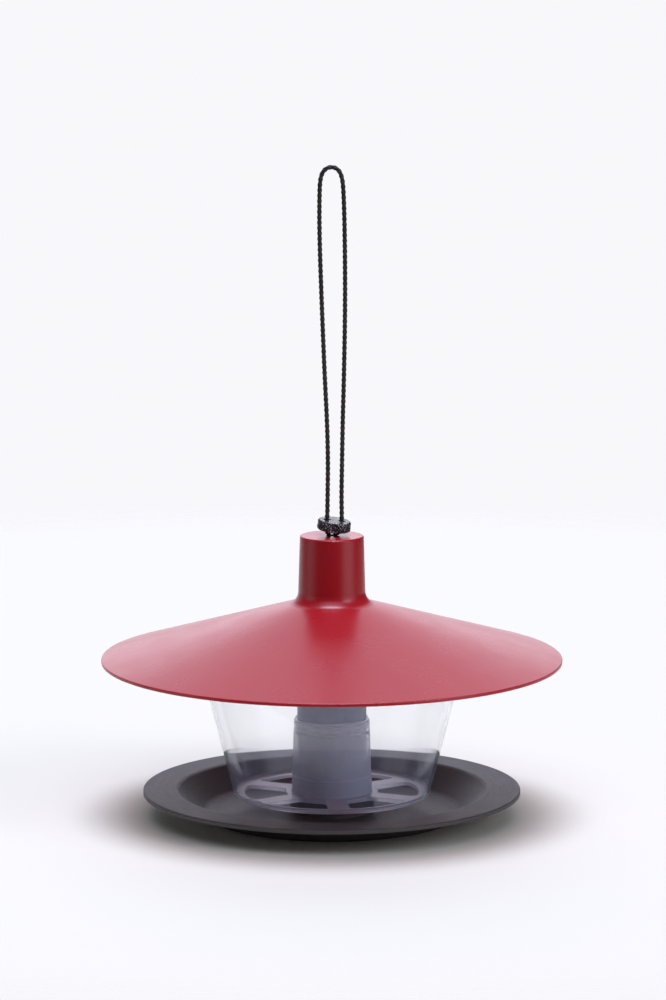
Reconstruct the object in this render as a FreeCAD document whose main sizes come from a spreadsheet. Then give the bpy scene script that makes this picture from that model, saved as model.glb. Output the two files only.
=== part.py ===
import FreeCAD, Part
import math
import os
import re
import Sketcher

# A hanging bird feeder: a round tray with a hollow centre column, a clear seed hopper that stands
# on the tray's boss, a wide conical roof that rests on the hopper, and a cord loop with a stopper.
# Millimetres. +Z is up, the origin is under the middle of the tray, on the surface that the feeder
# stands on, and -Y is the front.

DIMENSIONS = {
    # tray
    "tray_radius": 117,
    "tray_height": 17,
    "tray_lip": 2.6,
    "tray_lip_width": 1.8,
    "tray_wall": 2.1,
    "flange_inner_radius": 96,
    "well_radius": 78,
    "well_floor": 3.2,
    "foot_outer_radius": 75,
    "foot_inner_radius": 71,
    "boss_radius": 26.1,
    "boss_top": 13,
    "boss_wall": 2,
    "boss_hole_radius": 21.5,
    "tray_wall_shift": 0.7,
    "flange_rounding": 4,
    "well_rounding": 7,
    "tray_rim_rounding": 0.7,
    "boss_rounding": 0.8,
    "foot_rounding": 0.5,
    # centre column
    "column_radius": 21.4,
    "column_wall": 2.15,
    "column_flange_radius": 23.8,
    "column_flange": 2.5,
    "column_shoulder": 122,
    "spigot_radius": 17.2,
    "spigot_wall": 2,
    "column_top": 150,
    "column_lid": 3,
    "socket_ledge": 118,
    "column_rounding": 1.2,
    # hopper
    "hopper_floor": 2.4,
    "hopper_base_radius": 60.6,
    "hopper_rim_radius": 85.35,
    "hopper_rim": 112,
    "hopper_wall": 1.85,
    "hopper_lip": 1.1,
    "hopper_lip_height": 2.5,
    "hub_bottom_bore": 22.4,
    "hub_top_bore": 21.75,
    "hub_base_radius": 24.9,
    "hub_lower_ring": 26.3,
    "hub_lower_radius": 24.75,
    "hub_upper_ring": 54,
    "hub_middle_radius": 23.75,
    "hub_upper_radius": 23.5,
    "hub_step": 0.25,
    "hub_lip_radius": 22.7,
    "hub_lip": 1.6,
    "hub_top": 62,
    "cup_inner_rounding": 3.2,
    "cup_outer_rounding": 5,
    "hub_foot_rounding": 0.8,
    "window_inner_radius": 28.5,
    "window_outer_radius": 54.3,
    "window_corner": 3.5,
    "spoke_width": 12.5,
    "spoke_turn": 5.6,
    "window_count": 6,
    # roof
    "roof_radius": 142.5,
    "roof_rim_low": 97.2,
    "roof_rim_edge": 2,
    "roof_rim_width": 2.2,
    "roof_slope": 16.45,
    "roof_wall": 2.1,
    "roof_neck_radius": 20.92,
    "roof_neck_top_radius": 19.7,
    "roof_neck_top": 175.9,
    "roof_neck_fillet": 8,
    "roof_neck_inner_fillet": 6,
    "roof_neck_top_rounding": 1,
    "roof_rim_rounding": 0.6,
    "roof_seat_radius": 87,
    "roof_guide_radius": 81.8,
    "roof_guide_width": 1.9,
    "roof_guide_low": 107,
    "neck_cord_hole": 3.5,
    # cord, knot and stopper
    "cord_radius": 1.25,
    "strand_offset": 4.5,
    "lid_cord_hole": 3,
    "knot_radius": 5.2,
    "knot_height": 8,
    "knot_bevel": 1.5,
    "knot_tail": 9,
    "knot_tail_offset": 1.7,
    "stopper_radius": 10.5,
    "stopper_thickness": 6.2,
    "stopper_aside": 1.4,
    "stopper_centre": 182.5,
    "stopper_tilt": 6.5,
    "stopper_hole": 2,
    "stopper_edge": 1,
    "stopper_notch_width": 2.4,
    "stopper_notch_depth": 1.3,
    # how far a cutting tool reaches past what it cuts
    "tool_clearance": 1,
}

# The cord's centreline in X and Z, from the knot up the left strand, round the loop and down the
# right strand to the knot. The strands lie side by side in the column's lid and the neck's hole,
# part sharply under the stopper, rise through its two holes, spread gently and meet in the top bend.
CORD_ROUTE = [
    (-1.4, 147.0),
    (-1.4, 157.0),
    (-1.8, 165.5),
    (-1.7, 172.0),
    (-1.4, 176.6),
    (-3.45, 178.6),
    (-2.8, 186.0),
    (-2.6, 199.0),
    (-2.3, 222.0),
    (-2.9, 247.0),
    (-4.5, 278.0),
    (-6.2, 321.0),
    (-7.5, 359.0),
    (-7.6, 384.0),
    (-7.0, 398.1),
    (-3.1, 403.1),
    (2.7, 403.1),
    (6.4, 398.0),
    (7.4, 384.0),
    (8.0, 357.0),
    (8.2, 318.0),
    (7.5, 276.0),
    (6.7, 247.0),
    (6.3, 222.0),
    (5.9, 199.0),
    (6.25, 186.0),
    (5.5, 178.3),
    (1.4, 176.6),
    (1.75, 172.0),
    (1.9, 165.0),
    (1.4, 156.5),
    (1.4, 147.0),
]

# An arc of the cord starts this share of the shorter run from its corner
ARC_SHARE = 0.45

# The sketcher's numbers for an edge's start point and a circle's centre
START = 1
CENTRE = 3

# Closer than this to the axis counts as on it, and closer than this to a place counts as there
ON_AXIS = 1e-9
SAME_PLACE = 0.02

# A cut takes away at least this volume, and the cord's volume is right to within this share
LEAST_CUT = 1
VOLUME_SHARE = 0.01

doc = FreeCAD.newDocument("bird_feeder")
dims = doc.addObject("Spreadsheet::Sheet", "dims")


def fill_sheet():
    """Writes every driving dimension to the sheet, each with its alias."""
    for row, (alias, value) in enumerate(DIMENSIONS.items(), start=1):
        dims.set(f"A{row}", alias)
        dims.set(f"B{row}", str(value))
        dims.setAlias(f"B{row}", alias)
    doc.recompute()


def bound(text):
    """The text as an expression of the sheet: each dimension's name gets the sheet's name."""
    return re.sub(r"\b[a-z][a-z_]+\b(?!\()", lambda word: "dims." + word.group(), text)


def value_of(text):
    return float(dims.evalExpression(bound(text)))


def new_body(label):
    body = doc.addObject("PartDesign::Body", label)
    body.Label = label
    return body


def new_sketch(body, name, plane):
    """A sketch on one of the body's own origin planes, such as XY_Plane."""
    sketch = body.newObject("Sketcher::SketchObject", name)
    origin_plane = next(f for f in body.Origin.OriginFeatures if f.Role == plane)
    sketch.AttachmentSupport = [(origin_plane, "")]
    sketch.MapMode = "FlatFace"
    return sketch


def bind_coordinate(sketch, kind, edge, text, point=START):
    """Ties a point of an edge to an expression, or to the axis where it is zero."""
    value = value_of(text)
    if abs(value) < ON_AXIS:
        axis = -2 if kind == "DistanceX" else -1
        sketch.addConstraint(Sketcher.Constraint("PointOnObject", edge, point, axis))
        return
    number = sketch.addConstraint(Sketcher.Constraint(kind, -1, 1, edge, point, value))
    sketch.setExpression(f"Constraints[{number}]", bound(text))


def outline(body, name, plane, corners):
    """A closed outline of straight edges through corners, each a pair of expressions."""
    sketch = new_sketch(body, name, plane)
    points = [FreeCAD.Vector(value_of(x), value_of(y), 0) for x, y in corners]
    for start, end in zip(points, points[1:] + points[:1]):
        sketch.addGeometry(Part.LineSegment(start, end))
    for edge, (x, y) in enumerate(corners):
        following = (edge + 1) % len(corners)
        sketch.addConstraint(Sketcher.Constraint("Coincident", edge, 2, following, 1))
        bind_coordinate(sketch, "DistanceX", edge, x)
        bind_coordinate(sketch, "DistanceY", edge, y)
    return sketch


def turned(body, name, corners):
    """A solid of revolution about Z from an outline of (radius, height) expressions."""
    turning = body.newObject("PartDesign::Revolution", name)
    turning.Profile = outline(body, name + "_outline", "XZ_Plane", corners)
    turning.ReferenceAxis = (turning.Profile[0], ["V_Axis"])
    turning.Angle = 360
    doc.recompute()
    return turning


def rings(shape, places):
    """The names of the circular edges about Z at the given (radius, height) expressions."""
    found = []
    for radius_text, height_text in places:
        radius, height = value_of(radius_text), value_of(height_text)
        for number, edge in enumerate(shape.Edges, start=1):
            box = edge.BoundBox
            at_height = max(abs(box.ZMin - height), abs(box.ZMax - height)) < SAME_PLACE
            is_ring = hasattr(edge.Curve, "Radius") and abs(edge.Curve.Radius - radius) < SAME_PLACE
            if at_height and is_ring:
                found.append(f"Edge{number}")
    return found


def rounded(body, name, radius, places):
    """Rounds the circular edges at places; the radius is the name of a dimension."""
    base = body.Tip
    names = rings(base.Shape, places)
    if len(names) < len(places):
        raise RuntimeError(f"{name}: found {len(names)} edges of {len(places)}")
    fillet = body.newObject("PartDesign::Fillet", name)
    fillet.Base = (base, names)
    fillet.Radius = value_of(radius)
    fillet.setExpression("Radius", bound(radius))
    doc.recompute()
    return fillet


def circle_sketch(body, name, x, radius):
    """A circle on the body's XY plane, at x on its X axis."""
    sketch = new_sketch(body, name, "XY_Plane")
    centre = FreeCAD.Vector(value_of(x), 0, 0)
    sketch.addGeometry(Part.Circle(centre, FreeCAD.Vector(0, 0, 1), value_of(radius)))
    number = sketch.addConstraint(Sketcher.Constraint("Radius", 0, value_of(radius)))
    sketch.setExpression(f"Constraints[{number}]", bound(radius))
    bind_coordinate(sketch, "DistanceX", 0, x, CENTRE)
    bind_coordinate(sketch, "DistanceY", 0, "0", CENTRE)
    return sketch


def round_hole(body, name, x, radius):
    """A hole along Z through the whole body, at x on the X axis."""
    return cut_through(body, name, circle_sketch(body, name + "_circle", x, radius))


def cut_through(body, name, sketch):
    """Cuts the sketch through the whole body, up and down, and checks that it cut something."""
    before = body.Tip.Shape.Volume
    pocket = body.newObject("PartDesign::Pocket", name)
    pocket.Profile = sketch
    pocket.Type = "ThroughAll"
    pocket.Midplane = True
    doc.recompute()
    if not pocket.Shape.Volume < before - LEAST_CUT:
        raise RuntimeError(f"{name} cut nothing")
    return pocket


def make_tray():
    """Flat flange, sloped well wall, sunk floor, foot ring and a hollow boss with a hole."""
    body = new_body("tray")
    under_flange = "tray_height - tray_wall"
    under_floor = "well_floor - tray_wall"
    corners = [
        ("boss_hole_radius", "boss_top"),
        ("boss_radius", "boss_top"),
        ("boss_radius", "well_floor"),
        ("well_radius", "well_floor"),
        ("flange_inner_radius", "tray_height"),
        ("tray_radius", "tray_height"),
        ("tray_radius", "tray_height - tray_lip"),
        ("tray_radius - tray_lip_width", "tray_height - tray_lip"),
        ("tray_radius - tray_lip_width", under_flange),
        ("flange_inner_radius + tray_wall_shift", under_flange),
        ("well_radius + tray_wall_shift", under_floor),
        ("foot_outer_radius", under_floor),
        ("foot_outer_radius", "0"),
        ("foot_inner_radius", "0"),
        ("foot_inner_radius", under_floor),
        ("boss_radius - boss_wall", under_floor),
        ("boss_radius - boss_wall", "boss_top - boss_wall"),
        ("boss_hole_radius", "boss_top - boss_wall"),
    ]
    turned(body, "tray_turned", corners)
    foot_edges = [("foot_outer_radius", "0"), ("foot_inner_radius", "0")]
    boss_edges = [("boss_radius", "boss_top"), ("boss_radius", "well_floor")]
    rounded(body, "flange_fillet", "flange_rounding", [("flange_inner_radius", "tray_height")])
    rounded(body, "well_fillet", "well_rounding", [("well_radius", "well_floor")])
    rounded(body, "tray_rim_fillet", "tray_rim_rounding", [("tray_radius", "tray_height")])
    rounded(body, "boss_fillet", "boss_rounding", boss_edges)
    rounded(body, "foot_fillet", "foot_rounding", foot_edges)
    return body


def make_column():
    """A stepped tube, open below as a pole socket, with a lid on top that has a cord hole."""
    body = new_body("centre_column")
    low = "boss_top - boss_wall - column_flange"
    corners = [
        ("column_radius - column_wall", low),
        ("column_flange_radius", low),
        ("column_flange_radius", "boss_top - boss_wall"),
        ("column_radius", "boss_top - boss_wall"),
        ("column_radius", "column_shoulder"),
        ("spigot_radius", "column_shoulder"),
        ("spigot_radius", "column_top"),
        ("0", "column_top"),
        ("0", "column_top - column_lid"),
        ("spigot_radius - spigot_wall", "column_top - column_lid"),
        ("spigot_radius - spigot_wall", "socket_ledge"),
        ("column_radius - column_wall", "socket_ledge"),
    ]
    turned(body, "column_turned", corners)
    outer = [("column_radius", "column_shoulder"), ("spigot_radius", "column_top")]
    rounded(body, "column_fillet", "column_rounding", outer)
    round_hole(body, "lid_hole", "0", "lid_cord_hole")
    return body


def window_cutters():
    """Six tools for the floor's windows: a ring cut by three bars, with rounded corners."""
    low = value_of("boss_top - tool_clearance")
    tall = value_of("hopper_floor + 2 * tool_clearance")
    discs = []
    for name, radius in (("window_disc", "window_outer_radius"), ("hub_disc", "window_inner_radius")):
        disc = doc.addObject("Part::Cylinder", name)
        disc.setExpression("Radius", bound(radius))
        disc.Height = tall
        disc.Placement.Base.z = low
        discs.append(disc)
    ring = doc.addObject("Part::Cut", "window_ring")
    ring.Base, ring.Tool = discs
    windows = ring
    for number in range(DIMENSIONS["window_count"] // 2):
        bar = doc.addObject("Part::Box", f"spoke_bar_{number + 1}")
        bar.setExpression("Length", bound("2 * window_outer_radius + 2 * spoke_width"))
        bar.setExpression("Width", bound("spoke_width"))
        bar.Height = tall
        turn = value_of("spoke_turn") - 90 + number * 360 / DIMENSIONS["window_count"]
        rotation = FreeCAD.Rotation(FreeCAD.Vector(0, 0, 1), turn)
        doc.recompute()
        corner = FreeCAD.Vector(-bar.Length.Value / 2, -bar.Width.Value / 2, low)
        bar.Placement = FreeCAD.Placement(rotation.multVec(corner), rotation)
        parted = doc.addObject("Part::Cut", f"windows_{number + 1}")
        parted.Base, parted.Tool = windows, bar
        windows = parted
    doc.recompute()
    corners = doc.addObject("Part::Fillet", "window_corners")
    corners.Base = windows
    radius = value_of("window_corner")
    corners.Edges = [(n, radius, radius) for n, edge in enumerate(windows.Shape.Edges, start=1)
                     if edge.BoundBox.ZLength > tall / 2]
    doc.recompute()
    return corners


def make_hopper():
    """A clear cup with a sloped wall, a floor with six windows, and a stepped hub sleeve."""
    cup = new_body("hopper_cup")
    floor_top = "boss_top + hopper_floor"
    inner_slope = "(hopper_rim_radius - hopper_base_radius) / (hopper_rim - boss_top)"
    lip_low = "hopper_rim - hopper_lip_height"
    corners = [
        ("hub_bottom_bore", "boss_top"),
        ("hopper_base_radius", "boss_top"),
        (f"hopper_rim_radius - hopper_lip_height * {inner_slope}", lip_low),
        ("hopper_rim_radius + hopper_lip", lip_low),
        ("hopper_rim_radius + hopper_lip", "hopper_rim"),
        ("hopper_rim_radius - hopper_wall", "hopper_rim"),
        (f"hopper_base_radius - hopper_wall + hopper_floor * {inner_slope}", floor_top),
        ("hub_base_radius", floor_top),
        ("hub_lower_radius", "hub_lower_ring"),
        ("hub_lower_radius - hub_step", "hub_lower_ring"),
        ("hub_middle_radius", "hub_upper_ring"),
        ("hub_middle_radius - hub_step", "hub_upper_ring"),
        ("hub_upper_radius", "hub_top - hub_lip"),
        ("hub_lip_radius", "hub_top - hub_lip"),
        ("hub_lip_radius", "hub_top"),
        ("hub_top_bore", "hub_top"),
    ]
    turned(cup, "cup_turned", corners)
    inner_corner = (f"hopper_base_radius - hopper_wall + hopper_floor * {inner_slope}", floor_top)
    rounded(cup, "cup_inner_fillet", "cup_inner_rounding", [inner_corner])
    rounded(cup, "cup_outer_fillet", "cup_outer_rounding", [("hopper_base_radius", "boss_top")])
    rounded(cup, "hub_foot_fillet", "hub_foot_rounding", [("hub_base_radius", floor_top)])
    hopper = doc.addObject("Part::Cut", "seed_hopper")
    hopper.Base, hopper.Tool = cup, window_cutters()
    hopper.Label = "seed_hopper"
    return hopper


def make_roof():
    """A cone with a tall neck, a seat and a guide ring for the hopper's rim, and a cord hole."""
    body = new_body("roof")
    rim_top = "roof_rim_low + roof_rim_edge"
    wall = "roof_wall / cos(roof_slope)"
    neck_inner = "roof_neck_radius - roof_wall"

    def underside(radius):
        return f"{rim_top} + (roof_radius - ({radius})) * tan(roof_slope) - {wall}"

    guide_inner = "roof_guide_radius - roof_guide_width"
    rim_inner = "roof_radius - roof_rim_width"
    corners = [
        ("roof_radius", "roof_rim_low"),
        ("roof_radius", rim_top),
        ("roof_neck_radius", f"{rim_top} + (roof_radius - roof_neck_radius) * tan(roof_slope)"),
        ("roof_neck_top_radius", "roof_neck_top"),
        ("0", "roof_neck_top"),
        ("0", "roof_neck_top - roof_wall"),
        ("roof_neck_top_radius - roof_wall", "roof_neck_top - roof_wall"),
        (neck_inner, underside(neck_inner)),
        (guide_inner, underside(guide_inner)),
        (guide_inner, "roof_guide_low"),
        ("roof_guide_radius", "roof_guide_low"),
        ("roof_guide_radius", "hopper_rim"),
        ("roof_seat_radius", "hopper_rim"),
        ("roof_seat_radius", underside("roof_seat_radius")),
        (rim_inner, underside(rim_inner)),
        (rim_inner, "roof_rim_low"),
    ]
    turned(body, "roof_turned", corners)
    rounded(body, "neck_fillet", "roof_neck_fillet", [corners[2]])
    rounded(body, "neck_inner_fillet", "roof_neck_inner_fillet", [corners[7]])
    rounded(body, "neck_top_fillet", "roof_neck_top_rounding", [corners[3]])
    rounded(body, "roof_rim_fillet", "roof_rim_rounding", [corners[0], corners[1]])
    round_hole(body, "neck_hole", "0", "neck_cord_hole")
    return body


def make_cord():
    """The cord as a tube along straight runs joined by tangent arcs, in the plane Y = 0."""
    points = [FreeCAD.Vector(x, 0, z) for x, z in CORD_ROUTE]
    edges = []
    run_start = points[0]
    radii = []
    for before, corner, after in zip(points, points[1:], points[2:]):
        back = (before - corner).normalize()
        ahead = (after - corner).normalize()
        half_turn = (math.pi - back.getAngle(ahead)) / 2
        shorter = min((before - corner).Length, (after - corner).Length)
        setback = ARC_SHARE * shorter
        radius = setback / math.tan(half_turn)
        radii.append(round(radius, 1))
        arc_start = corner + back * setback
        arc_end = corner + ahead * setback
        to_centre = (back + ahead).normalize()
        centre = corner + to_centre * (radius / math.cos(half_turn))
        arc_middle = centre - to_centre * radius
        edges.append(Part.LineSegment(run_start, arc_start).toShape())
        edges.append(Part.Arc(arc_start, arc_middle, arc_end).toShape())
        run_start = arc_end
    edges.append(Part.LineSegment(run_start, points[-1]).toShape())
    print("cord arc radii, mm:", radii)
    route = doc.addObject("Part::Feature", "cord_route")
    route.Shape = Part.Wire(edges)
    section = doc.addObject("Part::Circle", "cord_section")
    section.setExpression("Radius", bound("cord_radius"))
    section.Placement = FreeCAD.Placement(points[0], FreeCAD.Rotation())
    cord = doc.addObject("Part::Sweep", "hanging_cord")
    cord.Sections = [section]
    cord.Spine = (route, [f"Edge{n + 1}" for n in range(len(edges))])
    cord.Solid = True
    cord.Frenet = False
    cord.Label = "hanging_cord"
    doc.recompute()
    expected = math.pi * value_of("cord_radius") ** 2 * route.Shape.Length
    print(f"cord length {route.Shape.Length:.1f} mm, volume {cord.Shape.Volume:.1f}, "
          f"section x length {expected:.1f}")
    if abs(cord.Shape.Volume - expected) > VOLUME_SHARE * expected:
        raise RuntimeError("the cord's volume is not its section times its length")
    return cord


def make_knot():
    """The knot that joins the cord's two ends under the column's lid, with their two tails."""
    body = new_body("cord_knot")
    corners = [
        ("0", "0"),
        ("knot_radius - knot_bevel", "0"),
        ("knot_radius", "-knot_bevel"),
        ("knot_radius", "knot_bevel - knot_height"),
        ("knot_radius - knot_bevel", "-knot_height"),
        ("0", "-knot_height"),
    ]
    turned(body, "knot_turned", corners)
    for side, offset in (("left", "-knot_tail_offset"), ("right", "knot_tail_offset")):
        tail = body.newObject("PartDesign::Pad", f"tail_{side}")
        tail.Profile = circle_sketch(body, f"tail_circle_{side}", offset, "cord_radius")
        tail.setExpression("Length", bound("knot_height + knot_tail"))
        tail.Reversed = True
        doc.recompute()
    body.setExpression("Placement.Base.z", bound("column_top - column_lid"))
    return body


def make_stopper():
    """A round disc with two cord holes and a notch in front, tilted on the cord as it hangs."""
    body = new_body("cord_stopper")
    low, high = "-stopper_thickness / 2", "stopper_thickness / 2"
    corners = [("0", low), ("stopper_radius", low), ("stopper_radius", high), ("0", high)]
    turned(body, "stopper_turned", corners)
    edges = [("stopper_radius", low), ("stopper_radius", high)]
    rounded(body, "stopper_fillet", "stopper_edge", edges)
    for side, offset in (("left", "-strand_offset"), ("right", "strand_offset")):
        round_hole(body, f"stopper_hole_{side}", offset, "stopper_hole")
    notch = outline(body, "notch_outline", "XY_Plane", [
        ("-stopper_notch_width / 2", "-stopper_radius - tool_clearance"),
        ("stopper_notch_width / 2", "-stopper_radius - tool_clearance"),
        ("0", "stopper_notch_depth - stopper_radius"),
    ])
    cut_through(body, "stopper_notch", notch)
    tilt = FreeCAD.Rotation(FreeCAD.Vector(0, 1, 0), value_of("stopper_tilt"))
    body.Placement.Rotation = tilt
    body.setExpression("Placement.Base.x", bound("stopper_aside"))
    body.setExpression("Placement.Base.z", bound("stopper_centre"))
    return body


def check_and_write(parts):
    """Stops on a failed object or a bad shape, then writes one STEP file for each part."""
    doc.recompute()
    for item in doc.Objects:
        if "Invalid" in item.State or "Error" in item.State:
            raise RuntimeError(f"{item.Name} failed: {item.State}")
    for part in parts:
        if part.Shape.isNull() or not part.Shape.isValid():
            raise RuntimeError(f"{part.Label} has no valid shape")
    os.makedirs("parts", exist_ok=True)
    for part in parts:
        part.Shape.exportStep(f"parts/{part.Label}.step")
        box = part.Shape.BoundBox
        print(f"{part.Label}: {len(part.Shape.Solids)} solid, {part.Shape.Volume / 1000:.2f} cm3, "
              f"z {box.ZMin:.2f} to {box.ZMax:.2f}")


fill_sheet()
check_and_write([
    make_tray(),
    make_column(),
    make_hopper(),
    make_roof(),
    make_cord(),
    make_knot(),
    make_stopper(),
])
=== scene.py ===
import math

import bmesh
import bpy
from mathutils import Matrix, Vector


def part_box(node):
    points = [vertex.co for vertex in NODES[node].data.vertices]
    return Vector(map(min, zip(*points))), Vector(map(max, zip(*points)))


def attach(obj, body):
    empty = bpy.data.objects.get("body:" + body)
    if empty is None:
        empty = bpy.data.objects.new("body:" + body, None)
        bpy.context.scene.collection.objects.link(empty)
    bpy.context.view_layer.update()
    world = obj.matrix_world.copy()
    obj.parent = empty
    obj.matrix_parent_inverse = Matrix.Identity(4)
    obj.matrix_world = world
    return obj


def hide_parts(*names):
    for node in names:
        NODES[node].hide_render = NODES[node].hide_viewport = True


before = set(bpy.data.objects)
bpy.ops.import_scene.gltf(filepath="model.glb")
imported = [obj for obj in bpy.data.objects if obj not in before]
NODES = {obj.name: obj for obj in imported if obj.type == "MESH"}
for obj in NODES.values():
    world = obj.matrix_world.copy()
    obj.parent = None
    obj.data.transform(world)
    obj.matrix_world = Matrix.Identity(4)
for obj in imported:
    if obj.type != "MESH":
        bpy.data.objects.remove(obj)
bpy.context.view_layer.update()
SCENE = bpy.context.scene

MM = 0.001

# The cord's route in X and Z, in millimetres, as the CAD has it: from the knot up the left strand,
# round the loop and down the right strand to the knot
CORD_ROUTE = [
    (-1.4, 147.0),
    (-1.4, 157.0),
    (-1.8, 165.5),
    (-1.7, 172.0),
    (-1.4, 176.6),
    (-3.45, 178.6),
    (-2.8, 186.0),
    (-2.6, 199.0),
    (-2.3, 222.0),
    (-2.9, 247.0),
    (-4.5, 278.0),
    (-6.2, 321.0),
    (-7.5, 359.0),
    (-7.6, 384.0),
    (-7.0, 398.1),
    (-3.1, 403.1),
    (2.7, 403.1),
    (6.4, 398.0),
    (7.4, 384.0),
    (8.0, 357.0),
    (8.2, 318.0),
    (7.5, 276.0),
    (6.7, 247.0),
    (6.3, 222.0),
    (5.9, 199.0),
    (6.25, 186.0),
    (5.5, 178.3),
    (1.4, 176.6),
    (1.75, 172.0),
    (1.9, 165.0),
    (1.4, 156.5),
    (1.4, 147.0),
]
CORD_RADIUS = 1.25 * MM
BRAID_PICK = 3.3 * MM
BRAID_STRANDS = 4
# The braid's surface, as shares of the cord's radius: its lowest point, and how far its crowns rise
BRAID_LOW = 0.80
BRAID_RISE = 0.38

STOPPER_RADIUS = 10.5 * MM
STOPPER_THICKNESS = 6.2 * MM
STOPPER_EDGE = 1.0 * MM
STOPPER_SIDES = 352
STOPPER_ROWS = 18
EDGE_STEPS = 6
# Degrees: down to the right, and down towards the front
STOPPER_TILT = 6.5
STOPPER_LEAN = 4.0
STOPPER_SAG = 0.2 * MM
STOPPER_HOLE = 2.35 * MM
STOPPER_HOLE_OFFSET = 4.5 * MM
NOTCH_RADIUS = 1.35 * MM
NOTCH_PLACE = (0.2 * MM, -STOPPER_RADIUS - 0.1 * MM)
# The flat faces' rings, from the middle outwards
FACE_RINGS = (3.0 * MM, 6.5 * MM, 8.4 * MM)
# Where the knurl begins, and the width over which it grows to its full depth
KNURL_START = 8.6 * MM
KNURL_FADE = 1.6 * MM
KNURL_LAPS = 30
KNURL_HEIGHT = 1.1 * MM
KNURL_DEPTH = 0.65
KNURL_UNEVEN = 0.30
FACE_BOW = 0.18 * MM

# The clear floor's upper face, and the hub sleeve's outside
FLOOR_TOP = 15.4 * MM
HUB_RADIUS = 26 * MM
HUB_RINGS = (26.3 * MM, 54 * MM, 57.5 * MM)
WALL_HAZE = (0.56, 0.71, 0.98)
DENSE_HAZE = (0.77, 0.86, 1.0)

KNOT_WRAPS = 3
KNOT_WRAP_STEPS = 48
KNOT_WRAP_RADIUS = 3.3 * MM
BARREL_LENGTH = 8 * MM
TAIL_OFFSET = 1.7 * MM

# Each material's darker and lighter shade
RED_SHADES = (0.385, 0.0078, 0.0140), (0.400, 0.0088, 0.0160)
DARK_SHADES = (0.031, 0.0270, 0.0265), (0.047, 0.041, 0.040)
GREY_SHADES = (0.225, 0.290, 0.440), (0.235, 0.300, 0.455)
# The black's lighter shade is a painted glint: light specks that stand in for the knurl catching the
# light
BLACK_AND_PAINTED_GLINT_SHADES = (0.004, 0.004, 0.0042), (0.36, 0.35, 0.34)
BRAID_SHADES = (0.004, 0.0035, 0.003), (0.050, 0.042, 0.030)

# In front of the feeder and a little above it; degrees that the camera looks down
CAMERA_PLACE = (0.00074, -3.0, 0.6892)
CAMERA_DOWN = 9.3
CAMERA_LENS = 177.9
CAMERA_SENSOR = 36

FLOOR_CENTRE = Vector((0, 0.35, 0))
FLOOR_RADIUS = 0.9
FLOOR_RINGS = 24
FLOOR_SIDES = 96
# Distances from its centre at which the floor begins to fade and is gone
FLOOR_FADE = 0.65, FLOOR_RADIUS - 0.05
FLOOR_COLOUR = (0.815, 0.815, 0.685, 1)


# ---------------------------------------------------------------- helpers


def new_mesh_object(name, vertices, faces, smooth=True):
    mesh = bpy.data.meshes.new(name)
    mesh.from_pydata(vertices, [], faces)
    mesh.validate()
    mesh.update()
    mesh.polygons.foreach_set("use_smooth", [smooth] * len(mesh.polygons))
    obj = bpy.data.objects.new(name, mesh)
    SCENE.collection.objects.link(obj)
    return obj


def turns(sides):
    """The angle of each vertex of a ring."""
    return [2 * math.pi * side / sides for side in range(sides)]


def wall_faces(rings, sides, start=0):
    """Four-sided faces between each ring of vertices and the next."""
    faces = []
    for ring in range(rings - 1):
        first = start + ring * sides
        for side in range(sides):
            after = (side + 1) % sides
            faces.append((first + side, first + after, first + sides + after, first + sides + side))
    return faces


def set_material(obj, material):
    obj.data.materials.clear()
    obj.data.materials.append(material)


def new_material(name):
    material = bpy.data.materials.new(name)
    material.use_nodes = True
    tree = material.node_tree
    return material, tree, tree.nodes["Principled BSDF"]


def node(tree, kind, **values):
    """A new node; each value goes to the input of that name, or else to the setting of that name."""
    made = tree.nodes.new(kind)
    for key, value in values.items():
        if key in made.inputs:
            made.inputs[key].default_value = value
        else:
            setattr(made, key, value)
    return made


def join(tree, source, target):
    tree.links.new(source, target)


def calculate(tree, operation, first, second):
    """A Math node; each operand is a socket or a number."""
    made = node(tree, "ShaderNodeMath", operation=operation)
    for socket, operand in zip(made.inputs, (first, second)):
        if isinstance(operand, (int, float)):
            socket.default_value = operand
        else:
            join(tree, operand, socket)
    return made.outputs["Value"]


def ramp(tree, value, low, high, out_low, out_high):
    made = node(tree, "ShaderNodeMapRange", interpolation_type="SMOOTHSTEP")
    limits = {"From Min": low, "From Max": high, "To Min": out_low, "To Max": out_high}
    for key, number in limits.items():
        made.inputs[key].default_value = number
    join(tree, value, made.inputs["Value"])
    return made.outputs["Result"]


def add_relief(tree, shader, height, strength, depth):
    """Bump from a height socket; depth is in metres."""
    bump = node(tree, "ShaderNodeBump", Strength=strength, Distance=depth)
    join(tree, height, bump.inputs["Height"])
    before = shader.inputs["Normal"].links
    if before:
        join(tree, before[0].from_socket, bump.inputs["Normal"])
    join(tree, bump.outputs["Normal"], shader.inputs["Normal"])


def noise(tree, place, scale, detail=2.0, roughness=0.5):
    made = node(tree, "ShaderNodeTexNoise", Scale=scale, Detail=detail, Roughness=roughness)
    join(tree, place, made.inputs["Vector"])
    return made.outputs["Fac"]


def tinted(tree, fac, dark, light):
    mix = node(tree, "ShaderNodeMix", data_type="RGBA")
    join(tree, fac, mix.inputs[0])
    mix.inputs[6].default_value = (*dark, 1)
    mix.inputs[7].default_value = (*light, 1)
    return mix.outputs[2]


def object_place(tree):
    return node(tree, "ShaderNodeTexCoord").outputs["Object"]


def split_place(tree):
    """Sockets with X, Y, Z and the distance from the object's axis."""
    parts = node(tree, "ShaderNodeSeparateXYZ")
    join(tree, object_place(tree), parts.inputs[0])
    x, y, z = parts.outputs
    x_squared, y_squared = calculate(tree, "MULTIPLY", x, x), calculate(tree, "MULTIPLY", y, y)
    radius = calculate(tree, "SQRT", calculate(tree, "ADD", x_squared, y_squared), 0.0)
    return x, y, z, radius


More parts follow.
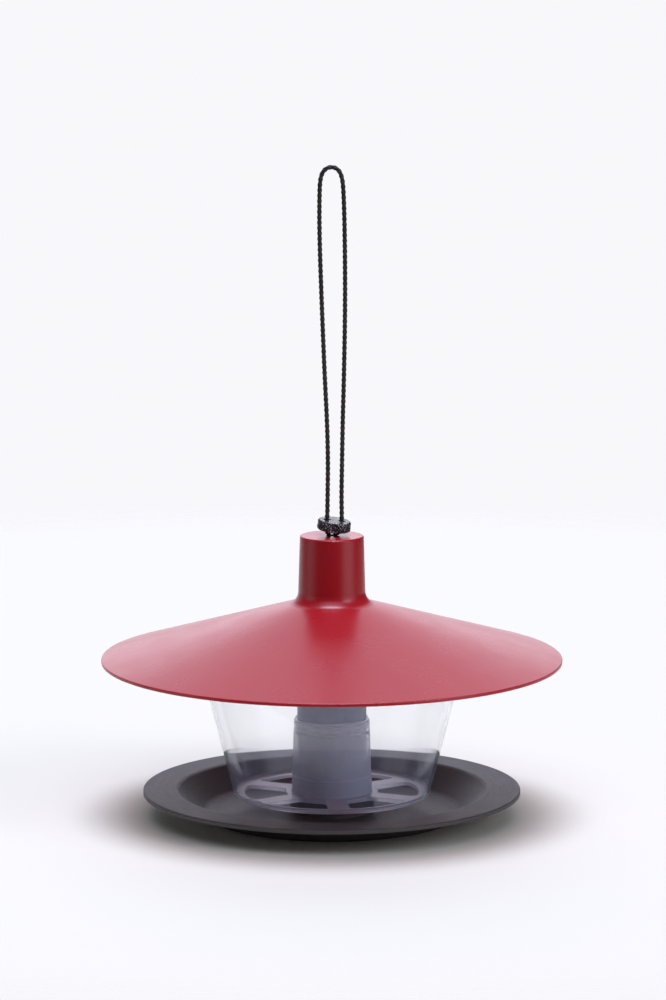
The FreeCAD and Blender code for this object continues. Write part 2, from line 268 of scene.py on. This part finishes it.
def turned_place(tree):
    """Coordinates for concentric marks: radius, then angle, then height."""
    x, y, z, radius = split_place(tree)
    angle = calculate(tree, "ARCTAN2", y, x)
    made = node(tree, "ShaderNodeCombineXYZ")
    join(tree, calculate(tree, "MULTIPLY", radius, 60.0), made.inputs[0])
    join(tree, calculate(tree, "MULTIPLY", angle, 0.6), made.inputs[1])
    join(tree, calculate(tree, "MULTIPLY", z, 60.0), made.inputs[2])
    return made.outputs[0]


# ---------------------------------------------------------------- materials


def red_plastic():
    """Satin moulded plastic, deep red, with a barely visible grain."""
    material, tree, shader = new_material("red_plastic")
    place = object_place(tree)
    mottle = noise(tree, place, 25.0, 3.0)
    join(tree, tinted(tree, mottle, *RED_SHADES), shader.inputs["Base Color"])
    polish = noise(tree, place, 40.0, 2.0)
    join(tree, ramp(tree, polish, 0.3, 0.7, 0.27, 0.31), shader.inputs["Roughness"])
    add_relief(tree, shader, noise(tree, place, 900.0, 1.0), 0.04, 0.00003)
    return material


def dark_plastic():
    """Matte anthracite plastic with faint concentric marks of its mould."""
    material, tree, shader = new_material("dark_plastic")
    place = object_place(tree)
    streaks = noise(tree, turned_place(tree), 14.0, 5.0, 0.65)
    join(tree, tinted(tree, streaks, *DARK_SHADES), shader.inputs["Base Color"])
    join(tree, ramp(tree, streaks, 0.25, 0.75, 0.51, 0.60), shader.inputs["Roughness"])
    shader.inputs["Specular IOR Level"].default_value = 0.62
    add_relief(tree, shader, streaks, 0.2, 0.00004)
    add_relief(tree, shader, noise(tree, place, 1500.0, 3.0, 0.6), 0.2, 0.00003)
    return material


def grey_plastic():
    """Matte blue-grey plastic of the column."""
    material, tree, shader = new_material("grey_plastic")
    place = object_place(tree)
    mottle = noise(tree, place, 90.0, 3.0)
    join(tree, tinted(tree, mottle, *GREY_SHADES), shader.inputs["Base Color"])
    shader.inputs["Roughness"].default_value = 0.5
    add_relief(tree, shader, noise(tree, place, 1500.0, 3.0, 0.6), 0.06, 0.00002)
    return material


def clear_plastic():
    """Clear plastic, slightly milky and bluish, more so low down and where it is looked along."""
    material, tree, shader = new_material("clear_plastic")
    place = object_place(tree)
    shader.inputs["Base Color"].default_value = (1, 1, 1, 1)
    _, _, z, radius = split_place(tree)
    floor = ramp(tree, z, FLOOR_TOP, FLOOR_TOP + 2 * MM, 1, 0)
    hub = ramp(tree, radius, HUB_RADIUS, HUB_RADIUS + 2 * MM, 1, 0)
    join(tree, ramp(tree, floor, 0, 1, 0.03, 0.27), shader.inputs["Roughness"])
    shader.inputs["IOR"].default_value = 1.43
    shader.inputs["Transmission Weight"].default_value = 1
    add_relief(tree, shader, noise(tree, place, 40.0, 1.0), 0.04, 0.0004)
    milk = node(tree, "ShaderNodeBsdfDiffuse")
    glow = node(tree, "ShaderNodeBsdfTranslucent")
    dense = calculate(tree, "MAXIMUM", floor, hub)
    cast = tinted(tree, dense, WALL_HAZE, DENSE_HAZE)
    join(tree, cast, milk.inputs["Color"])
    join(tree, cast, glow.inputs["Color"])
    haze = node(tree, "ShaderNodeMixShader")
    join(tree, ramp(tree, dense, 0, 1, 0.85, 0.35), haze.inputs["Fac"])
    join(tree, milk.outputs[0], haze.inputs[1])
    join(tree, glow.outputs[0], haze.inputs[2])
    edge = node(tree, "ShaderNodeLayerWeight", Blend=0.5)
    thin = ramp(tree, edge.outputs["Facing"], 0.15, 1.0, 0.02, 0.035)
    thick = ramp(tree, dense, 0, 1, 0, 0.36)
    amount = calculate(tree, "ADD", thin, thick)
    amount = calculate(tree, "ADD", amount, ramp(tree, z, 28 * MM, 44 * MM, 0.05, 0))
    for ring in HUB_RINGS:
        away = calculate(tree, "ABSOLUTE", calculate(tree, "SUBTRACT", z, ring), 0.0)
        line = calculate(tree, "MULTIPLY", hub, ramp(tree, away, 0.2 * MM, 0.9 * MM, 0.3, 0))
        amount = calculate(tree, "ADD", amount, line)
    body = node(tree, "ShaderNodeMixShader")
    join(tree, amount, body.inputs["Fac"])
    join(tree, shader.outputs[0], body.inputs[1])
    join(tree, haze.outputs[0], body.inputs[2])
    through = node(tree, "ShaderNodeBsdfTransparent", Color=(0.98, 0.985, 0.99, 1))
    path = node(tree, "ShaderNodeLightPath")
    lit = calculate(tree, "MAXIMUM", path.outputs["Is Shadow Ray"], path.outputs["Is Diffuse Ray"])
    whole = node(tree, "ShaderNodeMixShader")
    join(tree, lit, whole.inputs["Fac"])
    join(tree, body.outputs[0], whole.inputs[1])
    join(tree, through.outputs[0], whole.inputs[2])
    join(tree, whole.outputs[0], tree.nodes["Material Output"].inputs["Surface"])
    return material


def black_gloss():
    """Glossy black plastic with light specks painted into its colour here and there as glints of light
    on its grain.
    """
    material, tree, shader = new_material("black_gloss_plastic")
    place = object_place(tree)
    # Painted glints: light specks in the base colour in place of light caught by the grain
    painted_glints = ramp(tree, noise(tree, place, 900.0, 2.0), 0.54, 0.64, 0, 1)
    join(tree, tinted(tree, painted_glints, *BLACK_AND_PAINTED_GLINT_SHADES), shader.inputs["Base Color"])
    polish = noise(tree, place, 500.0, 3.0)
    join(tree, ramp(tree, polish, 0.3, 0.7, 0.10, 0.24), shader.inputs["Roughness"])
    add_relief(tree, shader, noise(tree, place, 800.0, 3.0), 1.0, 0.0005)
    return material


def black_braid():
    """Black synthetic braid: soft fibres that run along each strand."""
    material, tree, shader = new_material("black_braid")
    place = object_place(tree)
    fibres = noise(tree, place, 2600.0, 4.0, 0.7)
    wear = ramp(tree, noise(tree, place, 700.0, 2.0), 0.40, 0.66, 0, 1)
    join(tree, tinted(tree, wear, *BRAID_SHADES), shader.inputs["Base Color"])
    shader.inputs["Roughness"].default_value = 0.62
    shader.inputs["Sheen Weight"].default_value = 0.08
    shader.inputs["Sheen Roughness"].default_value = 0.4
    add_relief(tree, shader, fibres, 0.6, 0.00012)
    return material


# ---------------------------------------------------------------- cord and knot


def read_centreline():
    """The points of the smooth curve whose control points are the cord's route, in metres."""
    curve = bpy.data.curves.new("cord_route", "CURVE")
    curve.dimensions = "3D"
    curve.resolution_u = 40
    spline = curve.splines.new("NURBS")
    spline.points.add(len(CORD_ROUTE) - 1)
    for point, (x, z) in zip(spline.points, CORD_ROUTE):
        point.co = (x * MM, 0, z * MM, 1)
    spline.order_u = 3
    spline.use_endpoint_u = True
    holder = bpy.data.objects.new("cord_route", curve)
    SCENE.collection.objects.link(holder)
    line = bpy.data.meshes.new_from_object(holder)
    points = [vertex.co.copy() for vertex in line.vertices]
    bpy.data.objects.remove(holder)
    bpy.data.curves.remove(curve)
    bpy.data.meshes.remove(line)
    return points


def evenly_spaced(points, step):
    """The same line with a point about every step along it, both ends kept."""
    gaps = [(b - a).length for a, b in zip(points, points[1:])]
    count = max(2, round(sum(gaps) / step))
    spacing = sum(gaps) / count
    spread, travelled, target = [points[0]], 0.0, spacing
    for start, end, gap in zip(points, points[1:], gaps):
        while gap > 0 and travelled + gap >= target and len(spread) < count:
            spread.append(start.lerp(end, (target - travelled) / gap))
            target += spacing
        travelled += gap
    spread.append(points[-1])
    return spread


def braid_height(turn, along):
    """0 to 1: the relief of a round braid at an angle (radians) and a distance along it (metres)."""
    lap = turn / (2 * math.pi) * BRAID_STRANDS
    pick = along / BRAID_PICK
    first, second = lap + pick, lap - pick
    across, beside = first - math.floor(first), second - math.floor(second)
    if (math.floor(first) + math.floor(second)) % 2:
        across, beside = beside, across
    crown = 1 - (2 * across - 1) ** 2
    arch = math.sin(math.pi * beside)
    return math.sqrt(max(crown, 0)) * (0.45 + 0.55 * arch)


def braided_tube(name, points, radius, step=0.16 * MM, sides=20):
    """A closed tube round the line with a braid's relief; returns it and its ring centres."""
    centres = evenly_spaced(points, step)
    vertices = []
    side_way = Vector((0, 1, 0))
    along = 0.0
    for index, centre in enumerate(centres):
        following = centres[min(index + 1, len(centres) - 1)]
        ahead = (following - centres[max(index - 1, 0)]).normalized()
        side_way = (side_way - ahead * side_way.dot(ahead)).normalized()
        other_way = ahead.cross(side_way)
        for turn in turns(sides):
            reach = radius * (BRAID_LOW + BRAID_RISE * braid_height(turn, along))
            offset = side_way * math.cos(turn) + other_way * math.sin(turn)
            vertices.append(centre + offset * reach)
        along += (following - centre).length
    faces = wall_faces(len(centres), sides)
    faces.append(tuple(reversed(range(sides))))
    last = (len(centres) - 1) * sides
    faces.append(tuple(range(last, last + sides)))
    return new_mesh_object(name, vertices, faces), centres


def make_cord(material):
    cord, centres = braided_tube("hanging_cord_braid", read_centreline(), CORD_RADIUS)
    set_material(cord, material)
    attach(cord, "base")
    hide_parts("hanging_cord")
    return cord, centres


def make_knot(material):
    """A barrel knot: the cord's end wrapped round both strands, and two tails below it."""
    low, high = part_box("cord_knot")
    barrel_low = high.z - BARREL_LENGTH
    wraps = []
    wrap_steps = KNOT_WRAP_STEPS * KNOT_WRAPS
    top, bottom = high.z - CORD_RADIUS * 1.08, barrel_low + CORD_RADIUS * 1.08
    for step in range(wrap_steps + 1):
        share = step / wrap_steps
        turn = 2 * math.pi * KNOT_WRAPS * share
        swell = KNOT_WRAP_RADIUS * (0.94 + 0.06 * math.sin(math.pi * share))
        wraps.append(Vector((swell * math.cos(turn), swell * math.sin(turn),
                             top + (bottom - top) * share)))
    pieces = [braided_tube("knot_wraps", wraps, CORD_RADIUS, 0.3 * MM, 16)[0]]
    for side, lean in ((-1, 0.5), (1, -0.35)):
        tail = [Vector((side * (TAIL_OFFSET - 0.4 * MM), 0, high.z - 0.6 * MM)),
                Vector((side * (TAIL_OFFSET - 0.3 * MM), 0, barrel_low)),
                Vector((side * TAIL_OFFSET, 0.3 * lean * MM, low.z + 4 * MM)),
                Vector((side * TAIL_OFFSET, lean * MM, low.z + 0.1 * MM))]
        pieces.append(braided_tube("knot_tail", tail, CORD_RADIUS, 0.3 * MM, 16)[0])
    knot = pieces[0]
    whole = bmesh.new()
    for piece in pieces:
        whole.from_mesh(piece.data)
    whole.to_mesh(knot.data)
    whole.free()
    for piece in pieces[1:]:
        bpy.data.objects.remove(piece)
    knot.name = "barrel_knot"
    set_material(knot, material)
    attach(knot, "base")
    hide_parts("cord_knot")
    return knot


# ---------------------------------------------------------------- stopper


def make_stopper(material):
    """A thick button with rounded edges, a coarse diamond knurl round its edge and two cord holes."""
    low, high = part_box("cord_stopper")
    sides, half, edge = STOPPER_SIDES, STOPPER_THICKNESS / 2, STOPPER_EDGE
    inner = STOPPER_RADIUS - edge
    bends = [math.pi / 2 * step / EDGE_STEPS for step in range(EDGE_STEPS + 1)]
    profile = [(ring, -half) for ring in FACE_RINGS]
    profile += [(inner + edge * math.sin(bend), -half + edge - edge * math.cos(bend)) for bend in bends]
    profile += [(STOPPER_RADIUS, -half + edge + (2 * half - 2 * edge) * row / STOPPER_ROWS)
                for row in range(1, STOPPER_ROWS)]
    profile += [(inner + edge * math.cos(bend), half - edge + edge * math.sin(bend)) for bend in bends]
    profile += [(ring, half) for ring in reversed(FACE_RINGS)]
    vertices = []
    for radius, height in profile:
        rim = max(0.0, min(1.0, (radius - KNURL_START) / KNURL_FADE))
        for turn in turns(sides):
            lap, rise = turn * KNURL_LAPS / math.pi, height / KNURL_HEIGHT
            crossing = abs(math.sin(math.pi * (lap + rise) / 2) * math.sin(math.pi * (lap - rise) / 2))
            uneven = 0.5 + 0.5 * math.sin(17 * turn + 1.3) * math.sin(11 * turn + 1900 * height)
            cut = rim * (KNURL_DEPTH * (1 - crossing) + KNURL_UNEVEN * uneven) * MM
            bow = FACE_BOW * math.sin(3 * turn + 0.7) * (1 - rim) * (radius / STOPPER_RADIUS)
            vertices.append(((radius - cut) * math.cos(turn), (radius - cut) * math.sin(turn),
                             height - abs(bow) * (1 if height > 0 else -1)))
    faces = wall_faces(len(profile), sides)
    bottom, top = len(vertices), len(vertices) + 1
    vertices += [(0, 0, -half), (0, 0, half)]
    last = (len(profile) - 1) * sides
    for side in range(sides):
        after = (side + 1) % sides
        faces.append((bottom, after, side))
        faces.append((top, last + side, last + after))
    disc = new_mesh_object("cord_stopper_button", vertices, faces)
    cutters = []
    for x, y, radius in ((-STOPPER_HOLE_OFFSET, 0, STOPPER_HOLE), (STOPPER_HOLE_OFFSET, 0, STOPPER_HOLE),
                         (*NOTCH_PLACE, NOTCH_RADIUS)):
        tool = bmesh.new()
        bmesh.ops.create_cone(tool, cap_ends=True, segments=40, radius1=radius, radius2=radius,
                              depth=4 * half, matrix=Matrix.Translation((x, y, 0)))
        mesh = bpy.data.meshes.new("drill")
        tool.to_mesh(mesh)
        tool.free()
        drill = bpy.data.objects.new("drill", mesh)
        SCENE.collection.objects.link(drill)
        cut = disc.modifiers.new("drill", "BOOLEAN")
        cut.operation, cut.solver, cut.object = "DIFFERENCE", "EXACT", drill
        cutters.append(drill)
    bpy.context.view_layer.update()
    drilled = bpy.data.meshes.new_from_object(disc.evaluated_get(bpy.context.evaluated_depsgraph_get()))
    disc.modifiers.clear()
    disc.data = drilled
    for drill in cutters:
        bpy.data.objects.remove(drill)
    middle = Vector(((low.x + high.x) / 2, 0, (low.z + high.z) / 2 - STOPPER_SAG))
    disc.data.transform(Matrix.Translation(middle) @ Matrix.Rotation(math.radians(STOPPER_LEAN), 4, "X")
                        @ Matrix.Rotation(math.radians(STOPPER_TILT), 4, "Y"))
    for polygon in disc.data.polygons:
        polygon.use_smooth = True
    disc.data.set_sharp_from_angle(angle=math.radians(50))
    set_material(disc, material)
    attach(disc, "stopper")
    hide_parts("cord_stopper")
    return disc


# ---------------------------------------------------------------- camera, floor and light


def make_camera():
    """A long lens three metres in front of the feeder, looking a little down at it."""
    camera = bpy.data.cameras.new("camera")
    camera.sensor_width = CAMERA_SENSOR
    camera.lens = CAMERA_LENS
    obj = bpy.data.objects.new("camera", camera)
    obj.location = CAMERA_PLACE
    obj.rotation_euler = (math.radians(90 - CAMERA_DOWN), 0, 0)
    SCENE.collection.objects.link(obj)
    SCENE.camera = obj


def make_floor():
    """A round sheet of pale paper whose border fades into the white around it."""
    rings, sides, centre = FLOOR_RINGS, FLOOR_SIDES, FLOOR_CENTRE
    vertices = [tuple(centre)]
    for ring in range(1, rings + 1):
        reach = FLOOR_RADIUS * ring / rings
        for turn in turns(sides):
            vertices.append((centre.x + reach * math.cos(turn), centre.y + reach * math.sin(turn), 0))
    faces = [(0, 1 + side, 1 + (side + 1) % sides) for side in range(sides)]
    faces += [face[::-1] for face in wall_faces(rings, sides, start=1)]
    floor = new_mesh_object("floor", vertices, faces, smooth=False)
    material, tree, shader = new_material("pale_paper")
    shader.inputs["Base Color"].default_value = FLOOR_COLOUR
    shader.inputs["Roughness"].default_value = 0.95
    shader.inputs["Specular IOR Level"].default_value = 0.1
    away = node(tree, "ShaderNodeVectorMath", operation="DISTANCE")
    join(tree, object_place(tree), away.inputs[0])
    away.inputs[1].default_value = centre
    gone = node(tree, "ShaderNodeBsdfTransparent")
    mix = node(tree, "ShaderNodeMixShader")
    join(tree, ramp(tree, away.outputs["Value"], *FLOOR_FADE, 0, 1), mix.inputs["Fac"])
    join(tree, shader.outputs[0], mix.inputs[1])
    join(tree, gone.outputs[0], mix.inputs[2])
    join(tree, mix.outputs[0], tree.nodes["Material Output"].inputs["Surface"])
    set_material(floor, material)


def direction(azimuth, elevation):
    """Unit vector; azimuth in degrees from straight behind the object, towards +X."""
    turn, rise = math.radians(azimuth), math.radians(elevation)
    return (math.sin(turn) * math.cos(rise), math.cos(turn) * math.cos(rise), math.sin(rise))


# Soft light around the object: azimuth, elevation, full within, gone beyond (degrees), brightness
SOFTBOXES = [
    (-6, 3, 8, 30, 1.05),
    (0, 34, 10, 34, 1.12),
    (120, 3, 8, 32, 1.08),
    (122, 30, 4, 17, 3.8),
    (-40, 3, 8, 32, 0.48),
    (-100, 6, 8, 28, 0.65),
    (180, 60, 10, 34, 1.5),
    (0, 90, 5, 19, 11.8),
]
DIM_ROOM = 0.045
LOW_TINT = (0.99, 0.985, 1.08)
HIGH_TINT = (0.98, 0.985, 1.27)
PAPER_WHITE = 0.94


def make_light():
    """Soft light from overhead, from both sides and from the white wall behind; the near side is dim."""
    world = bpy.data.worlds.new("studio")
    SCENE.world = world
    world.use_nodes = True
    tree = world.node_tree
    look = node(tree, "ShaderNodeTexCoord").outputs["Generated"]
    total = DIM_ROOM
    for azimuth, elevation, inner, outer, brightness in SOFTBOXES:
        near = node(tree, "ShaderNodeVectorMath", operation="DOT_PRODUCT")
        join(tree, look, near.inputs[0])
        near.inputs[1].default_value = direction(azimuth, elevation)
        gone, full = math.cos(math.radians(outer)), math.cos(math.radians(inner))
        lobe = ramp(tree, near.outputs["Value"], gone, full, 0, brightness)
        total = calculate(tree, "ADD", lobe, total)
    light = tree.nodes["Background"]
    parts = node(tree, "ShaderNodeSeparateXYZ")
    join(tree, look, parts.inputs[0])
    join(tree, tinted(tree, parts.outputs["Z"], LOW_TINT, HIGH_TINT), light.inputs["Color"])
    join(tree, total, light.inputs["Strength"])
    paper = node(tree, "ShaderNodeBackground", Color=(1, 0.995, 1.03, 1), Strength=PAPER_WHITE)
    path = node(tree, "ShaderNodeLightPath")
    pick = node(tree, "ShaderNodeMixShader")
    join(tree, path.outputs["Is Camera Ray"], pick.inputs["Fac"])
    join(tree, light.outputs[0], pick.inputs[1])
    join(tree, paper.outputs[0], pick.inputs[2])
    join(tree, pick.outputs[0], tree.nodes["World Output"].inputs["Surface"])
    SCENE.view_settings.view_transform = "Standard"


make_camera()
make_floor()
make_light()

DARK = dark_plastic()
BRAID = black_braid()
set_material(NODES["tray"], DARK)
set_material(NODES["centre_column"], grey_plastic())
set_material(NODES["seed_hopper"], clear_plastic())
set_material(NODES["roof"], red_plastic())

cord, cord_centres = make_cord(BRAID)
knot = make_knot(BRAID)
stopper = make_stopper(black_gloss())
